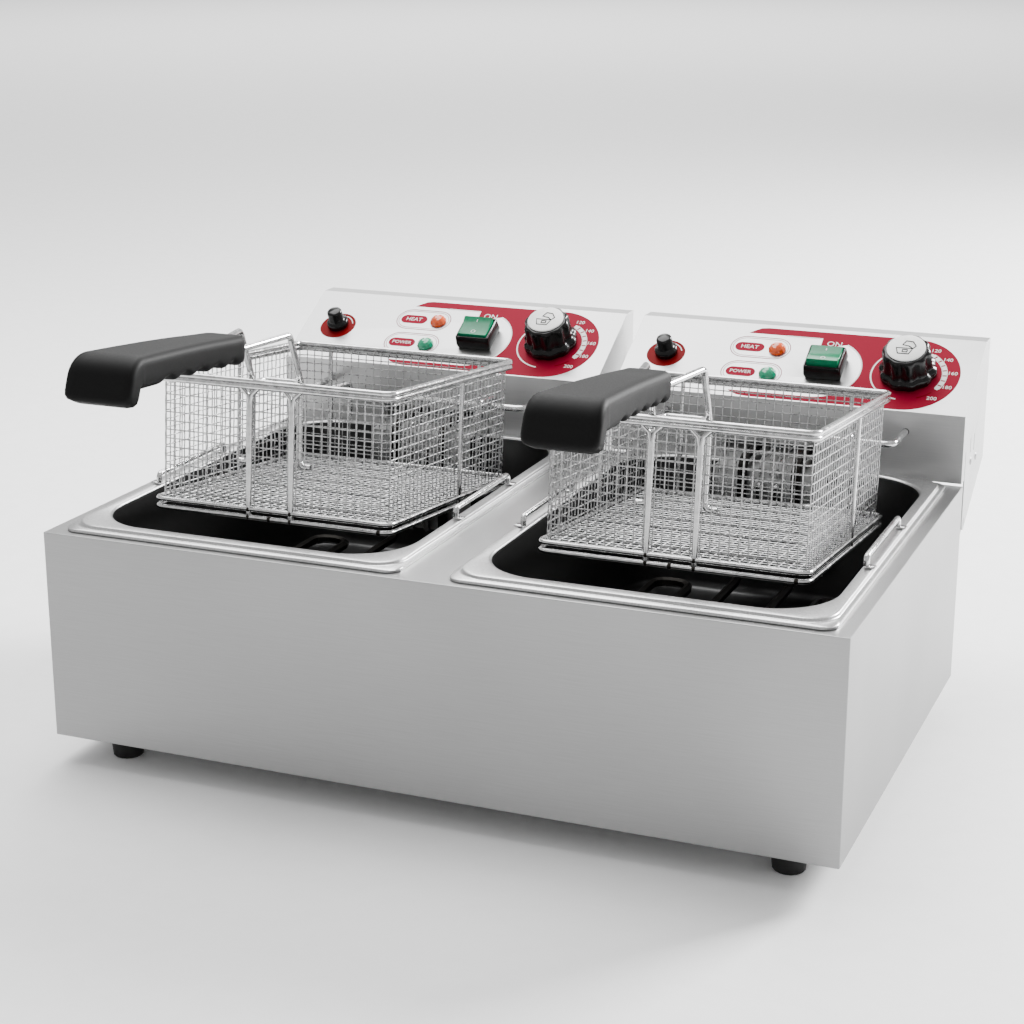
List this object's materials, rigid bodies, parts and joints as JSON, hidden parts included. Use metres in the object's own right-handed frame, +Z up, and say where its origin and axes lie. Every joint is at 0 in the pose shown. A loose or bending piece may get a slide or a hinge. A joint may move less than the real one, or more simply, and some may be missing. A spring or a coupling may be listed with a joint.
{
  "type": "countertop deep fryer",
  "caption": "Stainless countertop deep fryer with twin lift-out oil tanks, tilting control heads and wire baskets hung above the oil.",
  "frame": {"origin": "centre of the object's box at the underside of the feet", "axes": "+X to the user's right along the housing, +Y from the user towards the control heads, +Z up"},
  "size_m": [0.55, 0.5794, 0.321],
  "materials": {
    "housing": "brushed stainless sheet",
    "casing": "satin stainless sheet",
    "rear_cover": "satin stainless sheet",
    "bracket": "satin stainless sheet",
    "tank": "drawn stainless, darkened inside",
    "zinc": "zinc plated",
    "element": "heat darkened steel tube",
    "wire": "polished stainless wire",
    "basket_mesh": "woven stainless wire mesh",
    "rubber_feet": "moulded black rubber",
    "black_plastic": "moulded black",
    "grip": "moulded charcoal phenolic",
    "knob_cap": "white printed disc",
    "reset_button": "moulded white",
    "rocker": "translucent green",
    "amber_lens": "translucent amber",
    "green_lens": "translucent green"
  },
  "bodies": {
    "housing": {"housing_shell": "housing", "base_plate": "zinc", "foot_front_left": "rubber_feet", "foot_front_right": "rubber_feet", "foot_rear_left": "rubber_feet", "foot_rear_right": "rubber_feet", "hinge_rail": "zinc", "oil_tank_left": "tank", "lift_rail_left_a": "wire", "lift_rail_left_b": "wire", "oil_tank_right": "tank", "lift_rail_right_a": "wire", "lift_rail_right_b": "wire"},
    "head_left": {"control_casing_left": "casing", "rear_cover_left": "rear_cover", "basket_hanger_left": "wire", "element_bracket_left": "bracket", "heating_element_left": "element", "thermostat_bulb_left": "wire", "limiter_bulb_left": "wire", "cable_gland_left": "black_plastic", "hinge_rod_left": "zinc", "thermostat_left": "zinc", "switch_body_left": "black_plastic", "heat_lamp_left": "amber_lens", "power_lamp_left": "green_lens", "limiter_left": "zinc"},
    "knob_left": {"thermostat_knob_left": "black_plastic", "knob_cap_left": "knob_cap"},
    "rocker_left": {"rocker_left": "rocker"},
    "reset_cap_left": {"reset_cap_left": "black_plastic"},
    "reset_button_left": {"reset_button_left": "reset_button"},
    "basket_left": {"basket_mesh_left": "basket_mesh", "basket_frame_left": "wire"},
    "handle_left": {"handle_wire_left": "wire", "handle_grip_left": "grip"},
    "head_right": {"control_casing_right": "casing", "rear_cover_right": "rear_cover", "basket_hanger_right": "wire", "element_bracket_right": "bracket", "heating_element_right": "element", "thermostat_bulb_right": "wire", "limiter_bulb_right": "wire", "cable_gland_right": "black_plastic", "hinge_rod_right": "zinc", "thermostat_right": "zinc", "switch_body_right": "black_plastic", "heat_lamp_right": "amber_lens", "power_lamp_right": "green_lens", "limiter_right": "zinc"},
    "knob_right": {"thermostat_knob_right": "black_plastic", "knob_cap_right": "knob_cap"},
    "rocker_right": {"rocker_right": "rocker"},
    "reset_cap_right": {"reset_cap_right": "black_plastic"},
    "reset_button_right": {"reset_button_right": "reset_button"},
    "basket_right": {"basket_mesh_right": "basket_mesh", "basket_frame_right": "wire"},
    "handle_right": {"handle_wire_right": "wire", "handle_grip_right": "grip"}
  },
  "joints": [
    {"name": "head_tilt_left", "type": "hinge", "parent": "housing", "child": "head_left", "pos_m": [-0.1406, 0.20459, 0.1345], "axis": [-1, 0, 0], "range_deg": [0, 85]},
    {"name": "knob_turn_left", "type": "hinge", "parent": "head_left", "child": "knob_left", "pos_m": [-0.05665, 0.22011, 0.23748], "axis": [0, 0.497, -0.8678], "range_deg": [0, 270]},
    {"name": "rocker_press_left", "type": "hinge", "parent": "head_left", "child": "rocker_left", "pos_m": [-0.11815, 0.21478, 0.24538], "axis": [-1, 0, 0], "range_deg": [0, 16]},
    {"name": "reset_cap_lift_left", "type": "slide", "parent": "head_left", "child": "reset_cap_left", "axis": [0, -0.497, 0.8678], "range_m": [0, 0.03]},
    {"name": "reset_press_left", "type": "slide", "parent": "head_left", "child": "reset_button_left", "axis": [0, 0.497, -0.8678], "range_m": [0, 0.0015], "stiffness_N_per_m": 400, "springref_m": -0.001},
    {"name": "basket_lift_left", "type": "slide", "parent": "head_left", "child": "basket_left", "axis": [0, 0.0958, 0.9954], "range_m": [0, 0.12]},
    {"name": "handle_lift_left", "type": "slide", "parent": "basket_left", "child": "handle_left", "axis": [0, 0.0958, 0.9954], "range_m": [0, 0.07]},
    {"name": "head_tilt_right", "type": "hinge", "parent": "housing", "child": "head_right", "pos_m": [0.1406, 0.20459, 0.1345], "axis": [-1, 0, 0], "range_deg": [0, 85]},
    {"name": "knob_turn_right", "type": "hinge", "parent": "head_right", "child": "knob_right", "pos_m": [0.22455, 0.22011, 0.23748], "axis": [0, 0.497, -0.8678], "range_deg": [0, 270]},
    {"name": "rocker_press_right", "type": "hinge", "parent": "head_right", "child": "rocker_right", "pos_m": [0.16305, 0.21478, 0.24538], "axis": [1, 0, 0], "range_deg": [0, 16]},
    {"name": "reset_cap_lift_right", "type": "slide", "parent": "head_right", "child": "reset_cap_right", "axis": [0, -0.497, 0.8678], "range_m": [0, 0.03]},
    {"name": "reset_press_right", "type": "slide", "parent": "head_right", "child": "reset_button_right", "axis": [0, 0.497, -0.8678], "range_m": [0, 0.0015], "stiffness_N_per_m": 400, "springref_m": -0.001},
    {"name": "basket_lift_right", "type": "slide", "parent": "head_right", "child": "basket_right", "axis": [0, 0.0958, 0.9954], "range_m": [0, 0.12]},
    {"name": "handle_lift_right", "type": "slide", "parent": "basket_right", "child": "handle_right", "axis": [0, 0.0958, 0.9954], "range_m": [0, 0.07]}
  ]
}
